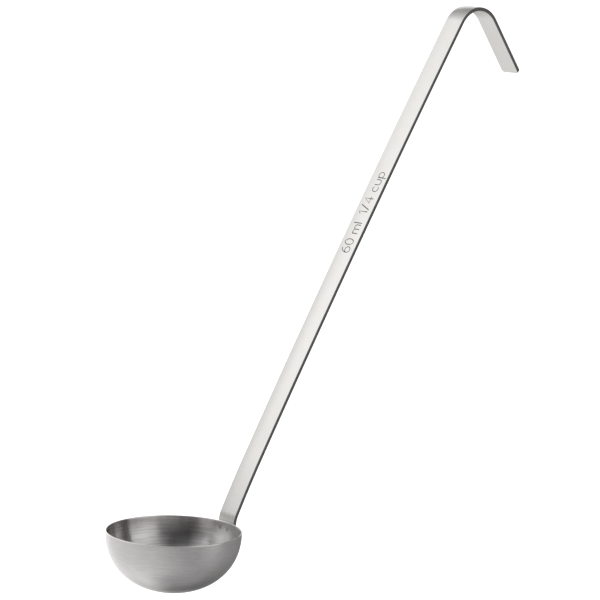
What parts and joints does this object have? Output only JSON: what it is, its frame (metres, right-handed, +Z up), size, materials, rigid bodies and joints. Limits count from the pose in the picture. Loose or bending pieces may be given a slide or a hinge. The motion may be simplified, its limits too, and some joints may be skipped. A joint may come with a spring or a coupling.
{
  "type": "ladle",
  "caption": "Kitchen ladle with a small round drawn bowl, a long flat strip handle leaning back from the rim, and an open hook bent over at its top for hanging.",
  "frame": {"origin": "seat inside the hook: the highest point of the inside of its bend, in the middle of the strip, where the ladle hangs on a rail or a pot's rim", "axes": "+Z up along the bowl's axis with the rim level, +X from the bowl towards the hook's leg, the way the handle leans, +Y across the strip; XZ is the mirror plane"},
  "size_m": [0.2526, 0.0644, 0.2731],
  "materials": {
    "bowl_steel": "satin, with fine brushing round the bowl",
    "handle_steel": "satin, tumbled, with darker sheared edges",
    "weld_steel": "fused metal, dull"
  },
  "bodies": {
    "root": {"bowl": "bowl_steel", "handle": "handle_steel", "spot_weld_upper_left": "weld_steel", "spot_weld_upper_right": "weld_steel", "spot_weld_lower_left": "weld_steel", "spot_weld_lower_right": "weld_steel"}
  },
  "joints": []
}
